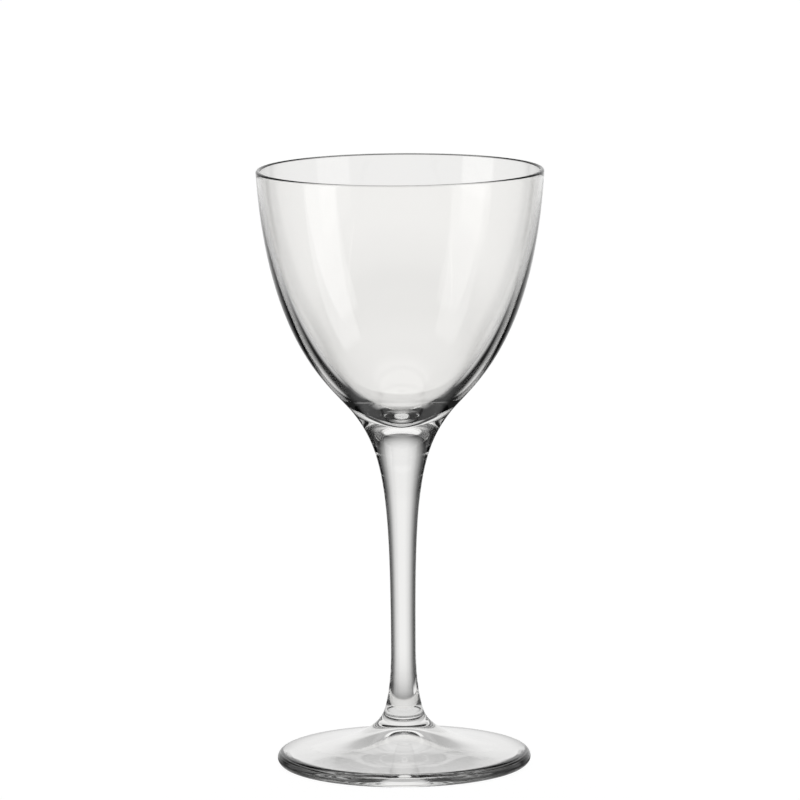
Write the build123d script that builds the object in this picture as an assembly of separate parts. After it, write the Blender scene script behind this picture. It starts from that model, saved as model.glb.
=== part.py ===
from build123d import *
from math import cos, radians, sin
import os

# Small stemmed cocktail glass: a blown bowl, a drawn stem and a pressed foot, fused while hot.
# Lengths are in millimetres and angles in degrees. +Z is up, and the origin is on the axis of the
# glass, level with the table that it stands on.

# Whole glass
glass_height = 151.6

# Bowl
bowl_height = 61.1  # from the rim down to the circle where the bowl meets the stem
rim_diameter = 72.4
rim_wall = 1.1  # the fire-polished rim is a full round of this thickness
rim_lean = 3.5  # the wall leans in by this angle below the rim
bowl_floor = 2.8  # glass under the middle of the drink

# Seat: the rounded bottom of the bowl, which lies in the dished head of the stem
seat_diameter = 25.4
seat_depth = 4.4
seat_slope = 51.0  # of the outline at the seat's edge, from the horizontal

# Stem
waist_diameter = 6.3
waist_height = 29.4

# Weld: the rounded bead below the stem, which is set into the boss of the foot
weld_diameter = 10.5
weld_height = 12.9
weld_depth = 1.8
weld_slope = 66.5  # of the outline at the weld's edge, from the horizontal

# Foot
foot_diameter = 64.2
foot_edge = 3.4  # the edge is a full round of this thickness
foot_slope = 4.9  # of the top at the edge, and of the underside at the ring
foot_ring = 1.9  # width of the flat ring that stands on the table
foot_hollow = 6.6  # rise of the underside inside that ring

# Pulls: how far a curve keeps to the direction of its end, as a share of the span given here
bowl_side_pull = 0.714  # of the bowl's height, down from the rim
bowl_base_pull = 0.138  # of the bowl's height, up from the seat
inside_side_pull = 0.767  # of the depth inside, down from the rim
inside_floor_pull = 0.39  # of the seat's radius, out along the floor
stem_head_pull = 0.216  # of the stem above its waist, down from the seat
stem_waist_pull = 0.644  # of the stem above its waist, up from the waist
stem_tail_pull = 0.618  # of the stem below its waist, down from the waist
stem_bead_pull = 0.098  # of the stem below its waist, up from the weld
boss_pull = 0.077  # of the foot's width outside the weld, down from the weld
foot_top_pull = 0.84  # of the foot's width outside the weld, in from the edge
hollow_middle_pull = 0.18  # of the hollow's radius, out from the axis
hollow_ring_pull = 0.80  # of the hollow's radius, in from the ring


def heading(angle):
    """Unit step in the section plane at an angle above the horizontal."""
    return Vector(cos(radians(angle)), sin(radians(angle)))


# Points of the half section, as (distance from the axis, height)
seat_height = glass_height - bowl_height
seat_edge = Vector(seat_diameter / 2, seat_height)
seat_bottom = Vector(0, seat_height - seat_depth)
bowl_bottom = Vector(0, seat_bottom.Y + bowl_floor)

rim_centre = Vector((rim_diameter - rim_wall) / 2, glass_height - rim_wall / 2)
rim_outside = rim_centre + heading(-rim_lean) * (rim_wall / 2)
rim_inside = rim_centre - heading(-rim_lean) * (rim_wall / 2)

waist = Vector(waist_diameter / 2, waist_height)
weld_edge = Vector(weld_diameter / 2, weld_height)
weld_bottom = Vector(0, weld_height - weld_depth)

edge_centre = Vector((foot_diameter - foot_edge) / 2, foot_edge / 2)
edge_top = edge_centre + heading(90 - foot_slope) * (foot_edge / 2)
edge_outside = edge_centre + heading(0) * (foot_edge / 2)
edge_bottom = edge_centre + heading(-90) * (foot_edge / 2)
ring_inside = edge_bottom - Vector(foot_ring, 0)
hollow_top = Vector(0, foot_hollow)


def seat_line():
    """Spherical face that the bowl and the stem share."""
    return TangentArc(seat_bottom, seat_edge, tangent=heading(0))


def weld_line():
    """Spherical face that the stem and the foot share."""
    return TangentArc(weld_bottom, weld_edge, tangent=heading(0))


def turned(lines):
    """Solid of revolution of the closed half section that the lines make."""
    section = make_face(lines)
    return revolve(Plane.XZ * section, Axis.Z)


def make_bowl():
    """Thin cup that thickens down to its floor, with a rounded rim and a rounded bottom."""
    down_the_wall = heading(-90 - rim_lean)
    depth = rim_inside.Y - bowl_bottom.Y
    outside = Bezier(
        seat_edge,
        seat_edge + heading(seat_slope) * (bowl_base_pull * bowl_height),
        rim_outside + down_the_wall * (bowl_side_pull * bowl_height),
        rim_outside,
    )
    rim = TangentArc(rim_outside, rim_inside, tangent=down_the_wall * -1)
    inside = Bezier(
        rim_inside,
        rim_inside + down_the_wall * (inside_side_pull * depth),
        bowl_bottom + Vector(inside_floor_pull * seat_edge.X, 0),
        bowl_bottom,
    )
    return turned([seat_line(), outside, rim, inside, Line(bowl_bottom, seat_bottom)])


def make_stem():
    """Solid stem that flares up into the seat, narrows to a waist and swells to its bead."""
    upper = seat_edge.Y - waist.Y
    lower = waist.Y - weld_edge.Y
    tail = Bezier(
        weld_edge,
        weld_edge + heading(180 - weld_slope) * (stem_bead_pull * lower),
        waist - Vector(0, stem_tail_pull * lower),
        waist,
    )
    flare = Bezier(
        waist,
        waist + Vector(0, stem_waist_pull * upper),
        seat_edge - heading(seat_slope) * (stem_head_pull * upper),
        seat_edge,
    )
    return turned([weld_line(), tail, flare, seat_line(), Line(seat_bottom, weld_bottom)])


def make_foot():
    """Disc that runs up into a boss, with a round edge, a flat ring below and a hollow inside it."""
    reach = edge_top.X - weld_edge.X
    hollow = Bezier(
        hollow_top,
        hollow_top + Vector(hollow_middle_pull * ring_inside.X, 0),
        ring_inside + heading(180 - foot_slope) * (hollow_ring_pull * ring_inside.X),
        ring_inside,
    )
    ring = Line(ring_inside, edge_bottom)
    edge = ThreePointArc(edge_bottom, edge_outside, edge_top)
    top = Bezier(
        edge_top,
        edge_top + heading(180 - foot_slope) * (foot_top_pull * reach),
        weld_edge + heading(-weld_slope) * (boss_pull * reach),
        weld_edge,
    )
    return turned([hollow, ring, edge, top, weld_line(), Line(weld_bottom, hollow_top)])


pieces = {"bowl": make_bowl(), "stem": make_stem(), "foot": make_foot()}

os.makedirs("parts", exist_ok=True)
for name, piece in pieces.items():
    piece.label = name
    export_step(piece, f"parts/{name}.step")
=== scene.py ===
import bpy
from math import atan, cos, degrees, pi, radians, sin, tan
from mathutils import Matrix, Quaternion, Vector


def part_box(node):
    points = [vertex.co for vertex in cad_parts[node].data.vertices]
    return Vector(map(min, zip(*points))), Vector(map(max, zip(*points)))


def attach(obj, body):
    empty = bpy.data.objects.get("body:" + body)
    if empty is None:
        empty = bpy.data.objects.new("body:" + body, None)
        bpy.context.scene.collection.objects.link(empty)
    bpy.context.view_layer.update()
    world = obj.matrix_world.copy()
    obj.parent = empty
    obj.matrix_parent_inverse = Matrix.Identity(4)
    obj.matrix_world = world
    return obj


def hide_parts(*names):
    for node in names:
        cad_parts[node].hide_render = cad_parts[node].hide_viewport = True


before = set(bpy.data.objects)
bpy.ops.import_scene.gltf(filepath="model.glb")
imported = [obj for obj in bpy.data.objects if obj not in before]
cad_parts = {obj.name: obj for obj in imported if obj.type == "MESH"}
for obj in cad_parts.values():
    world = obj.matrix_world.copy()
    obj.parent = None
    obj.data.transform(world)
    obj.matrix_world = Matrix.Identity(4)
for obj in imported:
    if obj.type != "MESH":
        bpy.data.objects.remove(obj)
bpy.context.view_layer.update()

# Places that the frame gives, in metres: the boxes of the three pieces share the circles where they meet
bowl_low, bowl_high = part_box("bowl")
stem_low, stem_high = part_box("stem")
foot_low, foot_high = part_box("foot")
rim_radius = bowl_high.x
rim_height = bowl_high.z
seat_radius = stem_high.x
seat_height = stem_high.z
seat_bottom = bowl_low.z
weld_height = foot_high.z
weld_bottom = stem_low.z
foot_radius = foot_high.x
table_height = foot_low.z

# Sizes inside those boxes, in metres, with angles in degrees
rim_wall = 0.0011
rim_lean = 3.5
bowl_floor = 0.0028
seat_slope = 51.0
waist_radius = 0.00315
waist_height = 0.0294
weld_radius = 0.00525
weld_slope = 66.5
foot_edge_radius = 0.0017
foot_slope = 4.9
ring_width = 0.0019
hollow_rise = 0.0066

# Reach of each curve's handle along the direction of its end, in metres
bowl_side_reach = 0.0436
bowl_base_reach = 0.0084
inside_side_reach = 0.0477
inside_floor_reach = 0.00495
stem_head_reach = 0.0132
stem_waist_reach = 0.0393
stem_tail_reach = 0.0102
stem_bead_reach = 0.0016
boss_reach = 0.0019
foot_top_reach = 0.0212
hollow_middle_reach = 0.0051
hollow_ring_reach = 0.0228

# Uneven edge of the foot, in metres: low waves that are long round the edge and short across it
edge_wave_length = 0.024
edge_wave_height = 0.0001
edge_wave_width = 0.005
edge_wave_stretch = 0.05  # share of their length that is left along the axis of the glass

# Steps of each curve, and of the turn about the axis of the glass
seat_steps = 24
bowl_outside_steps = 110
bowl_inside_steps = 120
rim_steps = 12
stem_flare_steps = 120
stem_tail_steps = 60
weld_steps = 16
foot_top_steps = 90
foot_edge_steps = 24
ring_steps = 6
hollow_steps = 60
turn_steps = 192

# Gaps, in metres, below which two points are made one, or count as lying in one place
merge_gap = 1e-7
place_gap = 1e-5

# Glass: how strongly it bends light, and the faint marks of the way that it was worked
glass_ior = 1.52
noise_detail = 2
ripple_depth = 0.0005
haze_scale = 40
haze_roughness = 0.02
tint_scale = 15
tint_deep = (0.985, 0.980, 0.968, 1)
tint_faint = (0.995, 0.992, 0.984, 1)


def at(radius, height):
    """Point of the half section, which lies in the XZ plane."""
    return Vector((radius, 0.0, height))


def heading(angle):
    """Unit step in the section plane at an angle above the horizontal."""
    return Vector((cos(radians(angle)), 0.0, sin(radians(angle))))


def from_axis(place):
    """Distance of a place from the axis of the glass."""
    return Vector((place.x, place.y)).length


def arc(centre, radius, start_angle, end_angle, steps):
    """One stretch of a circle, as the four control points of a curve that keeps to it."""
    reach = radius * 4 / 3 * tan(radians(end_angle - start_angle) / 4)
    start = centre + heading(start_angle) * radius
    end = centre + heading(end_angle) * radius
    out_of_start = start + heading(start_angle + 90) * reach
    into_end = end - heading(end_angle + 90) * reach
    return start, out_of_start, into_end, end, steps


def cap(bottom, radius, height, steps):
    """Rounded end: an arc from the axis at the bottom out to an edge circle."""
    depth = height - bottom
    sphere = (radius ** 2 + depth ** 2) / (2 * depth)
    spread = degrees(2 * atan(depth / radius))
    return arc(at(0, bottom + sphere), sphere, -90, spread - 90, steps)


def straight(start, end, steps):
    """Straight stretch, with its handles at its thirds."""
    return start, start.lerp(end, 1 / 3), start.lerp(end, 2 / 3), end, steps


def join_doubles():
    """Closes the seam and the poles of the active mesh and turns its faces outwards."""
    bpy.ops.object.mode_set(mode="EDIT")
    bpy.ops.mesh.select_all(action="SELECT")
    bpy.ops.mesh.remove_doubles(threshold=merge_gap)
    bpy.ops.mesh.normals_make_consistent(inside=False)
    bpy.ops.object.mode_set(mode="OBJECT")


def turn_piece(name, stretches):
    """Draws the half section as curves, makes it a mesh and turns it about the axis of the glass."""
    bpy.ops.object.select_all(action="DESELECT")
    bpy.ops.curve.primitive_bezier_curve_add()
    piece = bpy.context.object
    piece.name = name
    piece.data.splines.clear()
    for start, out_of_start, into_end, end, steps in stretches:
        spline = piece.data.splines.new("BEZIER")
        spline.bezier_points.add(1)
        spline.resolution_u = steps
        first, last = spline.bezier_points
        for knot in (first, last):
            knot.handle_left_type = "FREE"
            knot.handle_right_type = "FREE"
        first.co = start
        first.handle_left = start
        first.handle_right = out_of_start
        last.co = end
        last.handle_left = into_end
        last.handle_right = end
    bpy.ops.object.convert(target="MESH")
    piece.data.name = name
    join_doubles()
    turn = piece.modifiers.new("turn", "SCREW")
    turn.axis = "Z"
    turn.angle = 2 * pi
    turn.steps = turn_steps
    turn.render_steps = turn_steps
    turn.use_merge_vertices = True
    turn.merge_threshold = merge_gap
    bpy.ops.object.modifier_apply(modifier=turn.name)
    join_doubles()
    bpy.ops.object.shade_smooth()
    return piece


def crease(piece, radius, height):
    """Marks the circle round a joint as sharp, so that the faces inside and outside it are shaded apart."""
    mesh = piece.data
    on_circle = [
        abs(from_axis(v.co) - radius) < place_gap and abs(v.co.z - height) < place_gap
        for v in mesh.vertices
    ]
    for edge in mesh.edges:
        first, last = edge.vertices
        if on_circle[first] and on_circle[last]:
            edge.use_edge_sharp = True


def make_bowl():
    """Thin cup that thickens down to its floor, with a rounded rim and a rounded bottom."""
    wall = heading(-90 - rim_lean)
    rim_round = rim_wall / 2
    rim_centre = at(rim_radius - rim_round, rim_height - rim_round)
    outside_top = rim_centre + heading(-rim_lean) * rim_round
    inside_top = rim_centre - heading(-rim_lean) * rim_round
    seat_edge = at(seat_radius, seat_height)
    floor = at(0, seat_bottom + bowl_floor)
    base_handle = seat_edge + heading(seat_slope) * bowl_base_reach
    side_handle = outside_top + wall * bowl_side_reach
    inner_handle = inside_top + wall * inside_side_reach
    floor_handle = floor + at(inside_floor_reach, 0)
    bowl = turn_piece("bowl_glass", [
        cap(seat_bottom, seat_radius, seat_height, seat_steps),
        (seat_edge, base_handle, side_handle, outside_top, bowl_outside_steps),
        arc(rim_centre, rim_round, -rim_lean, 90 - rim_lean, rim_steps),
        arc(rim_centre, rim_round, 90 - rim_lean, 180 - rim_lean, rim_steps),
        (inside_top, inner_handle, floor_handle, floor, bowl_inside_steps),
    ])
    crease(bowl, seat_radius, seat_height)
    return bowl


def make_stem():
    """Solid stem that flares up into the seat, narrows to a waist and swells to its bead."""
    waist = at(waist_radius, waist_height)
    weld_edge = at(weld_radius, weld_height)
    seat_edge = at(seat_radius, seat_height)
    bead_handle = weld_edge + heading(180 - weld_slope) * stem_bead_reach
    tail_handle = waist - at(0, stem_tail_reach)
    waist_handle = waist + at(0, stem_waist_reach)
    head_handle = seat_edge - heading(seat_slope) * stem_head_reach
    stem = turn_piece("stem_glass", [
        cap(weld_bottom, weld_radius, weld_height, weld_steps),
        (weld_edge, bead_handle, tail_handle, waist, stem_tail_steps),
        (waist, waist_handle, head_handle, seat_edge, stem_flare_steps),
        cap(seat_bottom, seat_radius, seat_height, seat_steps),
    ])
    crease(stem, seat_radius, seat_height)
    crease(stem, weld_radius, weld_height)
    return stem


def make_foot():
    """Disc that runs up into a boss, with a round edge and a hollow below inside a flat ring."""
    edge_centre = at(foot_radius - foot_edge_radius, table_height + foot_edge_radius)
    edge_top = edge_centre + heading(90 - foot_slope) * foot_edge_radius
    edge_bottom = edge_centre + heading(-90) * foot_edge_radius
    ring_inside = edge_bottom - at(ring_width, 0)
    hollow_top = at(0, table_height + hollow_rise)
    weld_edge = at(weld_radius, weld_height)
    middle_handle = hollow_top + at(hollow_middle_reach, 0)
    ring_handle = ring_inside + heading(180 - foot_slope) * hollow_ring_reach
    top_handle = edge_top + heading(180 - foot_slope) * foot_top_reach
    boss_handle = weld_edge + heading(-weld_slope) * boss_reach
    foot = turn_piece("foot_glass", [
        (hollow_top, middle_handle, ring_handle, ring_inside, hollow_steps),
        straight(ring_inside, edge_bottom, ring_steps),
        arc(edge_centre, foot_edge_radius, -90, 0, foot_edge_steps),
        arc(edge_centre, foot_edge_radius, 0, 90 - foot_slope, foot_edge_steps),
        (edge_top, top_handle, boss_handle, weld_edge, foot_top_steps),
        cap(weld_bottom, weld_radius, weld_height, weld_steps),
    ])
    crease(foot, weld_radius, weld_height)
    wave_edge(foot)
    return foot


def wave_edge(foot):
    """Gives the edge of the foot the slight waves of worked glass, fading out towards the middle."""
    edge = foot.vertex_groups.new(name="edge")
    for vertex in foot.data.vertices:
        share = 1 - (foot_radius - from_axis(vertex.co)) / edge_wave_width
        if share > 0:
            edge.add([vertex.index], share, "REPLACE")
    waves = bpy.data.textures.new("edge_waves", "CLOUDS")
    waves.noise_scale = edge_wave_length
    grain = bpy.data.objects.new("edge_grain", None)
    bpy.context.scene.collection.objects.link(grain)
    grain.scale.z = edge_wave_stretch
    wave = foot.modifiers.new("wave", "DISPLACE")
    wave.texture = waves
    wave.texture_coords = "OBJECT"
    wave.texture_coords_object = grain
    wave.vertex_group = edge.name
    wave.mid_level = 0.5
    wave.strength = edge_wave_height
    bpy.context.view_layer.update()
    bpy.ops.object.modifier_apply(modifier=wave.name)
    foot.vertex_groups.clear()
    bpy.data.objects.remove(grain)


def add_math(tree, operation, first, second=0.0, third=0.0):
    """Math node on numbers or on the outputs of other nodes."""
    node = tree.nodes.new("ShaderNodeMath")
    node.operation = operation
    for socket, value in zip(node.inputs, (first, second, third)):
        if isinstance(value, (int, float)):
            socket.default_value = value
        else:
            tree.links.new(value, socket)
    return node.outputs["Value"]


def soft_step(tree, value, start, end, before=0.0, after=1.0):
    """Smooth change from one number to another while a value goes from its start to its end."""
    step = tree.nodes.new("ShaderNodeMapRange")
    step.interpolation_type = "SMOOTHSTEP"
    step.inputs["From Min"].default_value = start
    step.inputs["From Max"].default_value = end
    step.inputs["To Min"].default_value = before
    step.inputs["To Max"].default_value = after
    tree.links.new(value, step.inputs["Value"])
    return step.outputs["Result"]


def noise_on_glass(tree, stretch, scale):
    """Soft noise on the piece's own coordinates, stretched along the way that the glass was worked."""
    coords = tree.nodes.new("ShaderNodeTexCoord")
    grain = tree.nodes.new("ShaderNodeMapping")
    grain.inputs["Scale"].default_value = stretch
    noise = tree.nodes.new("ShaderNodeTexNoise")
    noise.inputs["Scale"].default_value = scale
    noise.inputs["Detail"].default_value = noise_detail
    tree.links.new(coords.outputs["Object"], grain.inputs["Vector"])
    tree.links.new(grain.outputs["Vector"], noise.inputs["Vector"])
    return noise.outputs["Fac"]


def clear_glass(name, stretch, ripple_scale, ripple_strength):
    """Colourless soda glass, with faint ripples, haze and colour from the way that it was worked."""
    material = bpy.data.materials.new(name)
    material.use_nodes = True
    tree = material.node_tree
    shader = tree.nodes["Principled BSDF"]
    shader.inputs["Transmission Weight"].default_value = 1
    shader.inputs["IOR"].default_value = glass_ior

    ripple = tree.nodes.new("ShaderNodeBump")
    ripple.inputs["Strength"].default_value = ripple_strength
    ripple.inputs["Distance"].default_value = ripple_depth
    tree.links.new(noise_on_glass(tree, stretch, ripple_scale), ripple.inputs["Height"])
    tree.links.new(ripple.outputs["Normal"], shader.inputs["Normal"])

    haze = tree.nodes.new("ShaderNodeMapRange")
    haze.inputs["To Max"].default_value = haze_roughness
    tree.links.new(noise_on_glass(tree, stretch, haze_scale), haze.inputs["Value"])
    tree.links.new(haze.outputs["Result"], shader.inputs["Roughness"])

    tint = tree.nodes.new("ShaderNodeMix")
    tint.data_type = "RGBA"
    tint.inputs["A"].default_value = tint_deep
    tint.inputs["B"].default_value = tint_faint
    tree.links.new(noise_on_glass(tree, stretch, tint_scale), tint.inputs["Factor"])
    tree.links.new(tint.outputs["Result"], shader.inputs["Base Color"])
    return material


def bare_material(name):
    """Material that has no shader yet, and its node tree."""
    material = bpy.data.materials.new(name)
    material.use_nodes = True
    tree = material.node_tree
    tree.nodes.remove(tree.nodes["Principled BSDF"])
    return material, tree


def show(tree, shader):
    """Puts the output of a shader on the surface of a material."""
    tree.links.new(shader, tree.nodes["Material Output"].inputs["Surface"])


def fused_joint():
    """Where two pieces are fused there is no surface left, so light goes straight through."""
    material, tree = bare_material("fused_joint")
    through = tree.nodes.new("ShaderNodeBsdfTransparent")
    show(tree, through.outputs["BSDF"])
    return material


def on_seat(face):
    """Faces of the bowl that are fused to the stem."""
    return face.center.z < seat_height and face.normal.z < 0


def on_stem_ends(face):
    """Faces of the stem that are fused to the bowl or to the foot."""
    head = face.center.z > seat_bottom - place_gap and face.normal.z > 0
    bead = face.center.z < weld_height and face.normal.z < 0
    return head or bead


def on_weld(face):
    """Faces of the foot that are fused to the stem."""
    inside = from_axis(face.center) < weld_radius
    return inside and face.center.z > weld_bottom - place_gap and face.normal.z > 0


def finish_piece(piece, node, glass, joint, is_joint):
    """Gives a piece its finishes and puts it in the frame in place of its CAD node."""
    piece.data.materials.append(glass)
    piece.data.materials.append(joint)
    for face in piece.data.polygons:
        face.material_index = 1 if is_joint(face) else 0
    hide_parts(node)
    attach(piece, "root")


# Pieces
blown = clear_glass("blown_glass", stretch=(1, 1, 1), ripple_scale=60, ripple_strength=0.02)
drawn = clear_glass("drawn_glass", stretch=(1, 1, 0.15), ripple_scale=300, ripple_strength=0.02)
pressed = clear_glass("pressed_glass", stretch=(1, 1, 1), ripple_scale=120, ripple_strength=0.03)
fused = fused_joint()
finish_piece(make_bowl(), "bowl", blown, fused, on_seat)
finish_piece(make_stem(), "stem", drawn, fused, on_stem_ends)
finish_piece(make_foot(), "foot", pressed, fused, on_weld)


def make_camera():
    """Long lens at the photograph's height and distance."""
    aim = Vector((-0.0004, 0, 0.09306))
    distance = 1.600
    elevation = 8.62
    roll = -0.43
    focal_length = 285.8
    farthest_view = 50
    lens = bpy.data.cameras.new("camera")
    lens.lens = focal_length
    lens.clip_end = farthest_view
    camera = bpy.data.objects.new("camera", lens)
    bpy.context.scene.collection.objects.link(camera)
    bpy.context.scene.camera = camera
    back = Vector((0, -cos(radians(elevation)), sin(radians(elevation))))
    camera.location = aim + back * distance
    camera.rotation_mode = "QUATERNION"
    level_look = (-back).to_track_quat("-Z", "Y")
    camera.rotation_quaternion = level_look @ Quaternion((0, 0, 1), radians(roll))


# Floor, and the glowing table under the foot, a painted pool of light that is bright below the foot and dim
# past its edge
disc_corners = 96
floor_radius = 6
floor_glow = 0.95
floor_grey = (0.2, 0.2, 0.2, 1)
table_margin = 0.005
table_drop = 0.0002
table_fade_start = foot_radius - 0.004
table_fade_end = foot_radius + 0.002
table_painted_light_level = 0.75
table_edge_level = 0.15


def add_disc(name, radius, height):
    """Flat disc about the axis of the glass."""
    bpy.ops.object.select_all(action="DESELECT")
    bpy.ops.mesh.primitive_circle_add(vertices=disc_corners, radius=radius, fill_type="NGON")
    disc = bpy.context.object
    disc.name = name
    disc.location.z = height
    return disc


def make_floor():
    """White floor that glows to the background's level and still takes the shadow of the glass."""
    floor = add_disc("floor", floor_radius, table_height)
    floor.visible_transmission = False
    floor.visible_glossy = False
    material, tree = bare_material("white_floor")
    glow = tree.nodes.new("ShaderNodeEmission")
    glow.inputs["Strength"].default_value = floor_glow
    matt = tree.nodes.new("ShaderNodeBsdfDiffuse")
    matt.inputs["Color"].default_value = floor_grey
    both = tree.nodes.new("ShaderNodeAddShader")
    tree.links.new(glow.outputs["Emission"], both.inputs[0])
    tree.links.new(matt.outputs["BSDF"], both.inputs[1])
    show(tree, both.outputs["Shader"])
    floor.data.materials.append(material)


def make_light_table():
    """Small glowing disc under the foot, painted with a pool of light that is bright below the foot and dim
    past its edge; it shows through the glass alone.
    """
    table = add_disc("light_table", foot_radius + table_margin, table_height - table_drop)
    table.visible_camera = False
    table.visible_diffuse = False
    table.visible_shadow = False
    material, tree = bare_material("painted_light_table")
    coords = tree.nodes.new("ShaderNodeTexCoord")
    reach = tree.nodes.new("ShaderNodeVectorMath")
    reach.operation = "LENGTH"
    tree.links.new(coords.outputs["Object"], reach.inputs[0])
    # Painted pool of light: the disc glows brightly below the foot and dimly past its edge
    level = soft_step(
        tree, reach.outputs["Value"], table_fade_start, table_fade_end, table_painted_light_level, table_edge_level
    )
    glow = tree.nodes.new("ShaderNodeEmission")
    tree.links.new(level, glow.inputs["Strength"])
    show(tree, glow.outputs["Emission"])
    table.data.materials.append(material)


# Panels round the glass, with angles in degrees. The bearing is from +Y towards +X. Across its bearing a
# panel is lit out to the first angle and dark from the second on. Its low and high edges each go from
# dark to lit between their two elevations. These are the shapes that more than one panel has.
backdrop = dict(bearing=2, across=(5, 53))
side_wall = dict(bearing=-90, low=(-20, -14), high=(8, 2), level=0.95)
corner = dict(bearing=-45, low=(-45, -38), level=0.9)
reflector = dict(across=(14, 20), low=(-29, -20), high=(0, -8), level=0.95)
low_reflector = dict(across=(6, 13), low=(-46, -36), high=(-17, -24), level=0.7)
strip = dict(across=(14, 18), low=(-54, -48), high=(10, 4))
ground = dict(bearing=0, across=(180, 181), low=(-95, -94), high=(-38, -54))

# Each kind of light shows its own panels: light that went "straight" through the glass, and the part of it
# that crossed both sides of the "bowl"; light that was mirrored once "anywhere", and the parts of it that
# were mirrored "inside" the glass and by its "outside"; and light that was mirrored "often".
panels = {
    "straight": [
        dict(backdrop, low=(-36, -10), high=(45, 12), level=0.9),
        dict(side_wall, across=(12, 24)),
        dict(corner, across=(10, 16), high=(-19, -24)),
        dict(bearing=135, across=(25, 45), low=(-32, -26), high=(0, -5), level=0.9),
        dict(ground, level=0.6),
    ],
    "bowl": [
        dict(backdrop, low=(-32, -24), high=(45, 12), level=0.95),
        dict(bearing=0, across=(24, 30), low=(-58, -48), high=(-10, -18), level=0.78),
        dict(side_wall, across=(20, 40)),
        dict(corner, across=(20, 30), high=(-12, -18)),
    ],
    "inside": [
        dict(backdrop, low=(-21, -8), high=(28, 8), level=0.9),
        dict(reflector, bearing=-23),
        dict(reflector, bearing=23),
        dict(low_reflector, bearing=-38),
        dict(low_reflector, bearing=38),
        dict(bearing=0, across=(30, 50), low=(5, 15), high=(70, 60), level=0.5),
    ],
    "outside": [
        dict(backdrop, low=(-21, -8), high=(45, 12), level=0.9),
    ],
    "anywhere": [
        dict(bearing=180, across=(124, 138), low=(-44, -28), high=(25, 15), level=0.6),
        dict(strip, bearing=-111, level=1.6),
        dict(strip, bearing=122, level=1.2),
        dict(ground, level=0.6),
    ],
    "often": [
        dict(backdrop, low=(-21, -8), high=(45, 12), level=0.9),
        dict(ground, level=0.25),
    ],
}
top_light = dict(bearing=0, elevation=75, across=(28, 36), level=0.95)
room_level = 0.015


def fade(tree, angle, dark, lit):
    """Soft step of an angle from 0 at the dark angle to 1 at the lit one."""
    return soft_step(tree, angle, radians(dark), radians(lit))


def panel_light(tree, bearing, elevation, panel):
    """Light from one panel."""
    lit, dark = panel["across"]
    turn = add_math(tree, "SUBTRACT", bearing, radians(panel["bearing"]))
    turn = add_math(tree, "WRAP", turn, pi, -pi)
    light = fade(tree, add_math(tree, "ABSOLUTE", turn), dark, lit)
    light = add_math(tree, "MULTIPLY", light, fade(tree, elevation, *panel["low"]))
    light = add_math(tree, "MULTIPLY", light, fade(tree, elevation, *panel["high"]))
    return add_math(tree, "MULTIPLY", light, panel["level"])


def top_light_level(tree, direction):
    """Light from the round lamp above the glass."""
    height = radians(top_light["elevation"])
    side = radians(top_light["bearing"])
    lit, dark = top_light["across"]
    toward = tree.nodes.new("ShaderNodeVectorMath")
    toward.operation = "DOT_PRODUCT"
    toward.inputs[1].default_value = (sin(side) * cos(height), cos(side) * cos(height), sin(height))
    tree.links.new(direction, toward.inputs[0])
    off = add_math(tree, "ARCCOSINE", toward.outputs["Value"])
    return add_math(tree, "MULTIPLY", fade(tree, off, dark, lit), top_light["level"])


def kinds_of_light(tree, path):
    """For each kind of light, 1 where the light is of that kind and 0 where it isn't."""
    # Passes through a surface and mirrorings are whole numbers, so the limits lie halfway between these.
    passes = path.outputs["Transmission Depth"]
    mirrorings = path.outputs["Glossy Depth"]
    never = add_math(tree, "LESS_THAN", mirrorings, 0.5)
    once = add_math(tree, "COMPARE", mirrorings, 1.0, 0.5)
    return {
        "straight": never,
        "bowl": add_math(tree, "MULTIPLY", never, add_math(tree, "GREATER_THAN", passes, 3.5)),
        "inside": add_math(tree, "MULTIPLY", once, add_math(tree, "GREATER_THAN", passes, 0.5)),
        "outside": add_math(tree, "MULTIPLY", once, add_math(tree, "LESS_THAN", passes, 0.5)),
        "anywhere": once,
        "often": add_math(tree, "GREATER_THAN", mirrorings, 1.5),
    }


def make_studio():
    """Dark room with white panels, which the glass shows, in front of a white background."""
    world = bpy.data.worlds.new("studio")
    bpy.context.scene.world = world
    world.use_nodes = True
    tree = world.node_tree
    background = tree.nodes["Background"]
    coords = tree.nodes.new("ShaderNodeTexCoord")
    direction = coords.outputs["Generated"]
    parts = tree.nodes.new("ShaderNodeSeparateXYZ")
    tree.links.new(direction, parts.inputs["Vector"])
    bearing = add_math(tree, "ARCTAN2", parts.outputs["X"], parts.outputs["Y"])
    elevation = add_math(tree, "ARCSINE", parts.outputs["Z"])
    path = tree.nodes.new("ShaderNodeLightPath")
    kinds = kinds_of_light(tree, path)
    light = add_math(tree, "ADD", top_light_level(tree, direction), room_level)
    for kind, shown in panels.items():
        for panel in shown:
            shine = panel_light(tree, bearing, elevation, panel)
            shine = add_math(tree, "MULTIPLY", shine, kinds[kind])
            light = add_math(tree, "MAXIMUM", light, shine)
    seen = tree.nodes.new("ShaderNodeMix")
    seen.data_type = "FLOAT"
    tree.links.new(path.outputs["Is Camera Ray"], seen.inputs["Factor"])
    tree.links.new(light, seen.inputs["A"])
    seen.inputs["B"].default_value = 1
    tree.links.new(seen.outputs["Result"], background.inputs["Color"])


def let_light_bounce():
    """Follows light through the many turns that it takes inside thick glass."""
    paths = bpy.context.scene.cycles
    paths.max_bounces = 16
    paths.glossy_bounces = 8


make_camera()
make_floor()
make_light_table()
make_studio()
let_light_bounce()
bpy.context.scene.view_settings.view_transform = "Standard"
